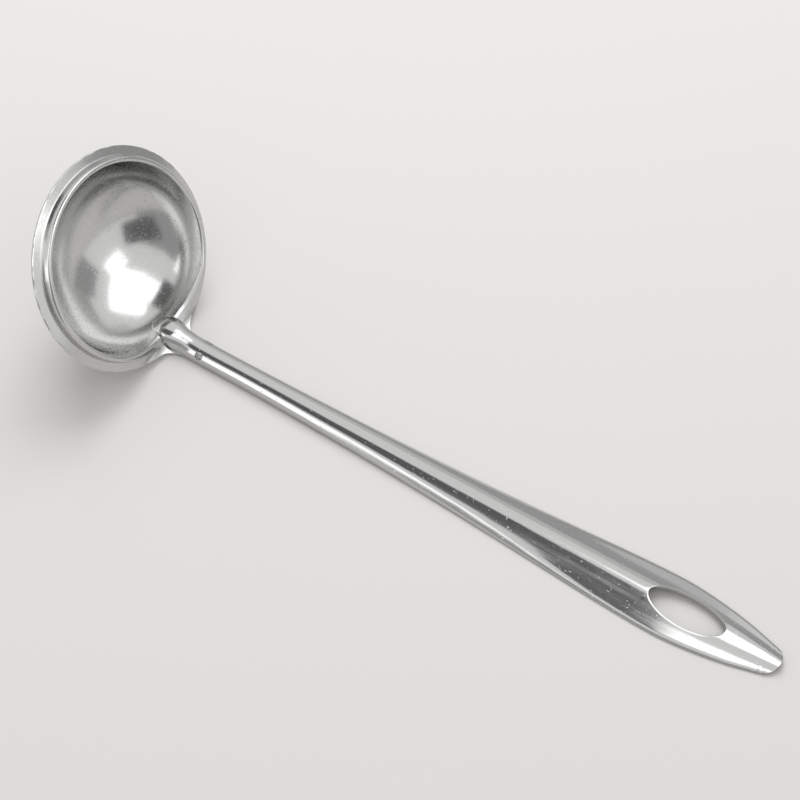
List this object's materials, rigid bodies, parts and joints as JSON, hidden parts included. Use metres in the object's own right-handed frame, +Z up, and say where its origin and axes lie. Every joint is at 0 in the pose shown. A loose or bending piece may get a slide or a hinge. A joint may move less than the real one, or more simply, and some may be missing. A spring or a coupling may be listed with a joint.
{
  "type": "soup ladle",
  "caption": "Pressed stainless steel soup ladle: round beaded bowl, spot welded channel handle that widens to a rounded end with a long hanging hole, lying at rest.",
  "frame": {"origin": "on the ground under the middle of the ladle's length, in its plane of symmetry, as it lies at rest", "axes": "+X along the handle towards its tip, +Z up, +Y across; the bowl opens towards +X and up"},
  "size_m": [0.3113, 0.085, 0.0725],
  "materials": {
    "stainless_sheet": "polished",
    "weld_metal": "ground flush"
  },
  "bodies": {
    "root": {"bowl": "stainless_sheet", "handle": "stainless_sheet", "spot_welds": "weld_metal"}
  },
  "joints": []
}
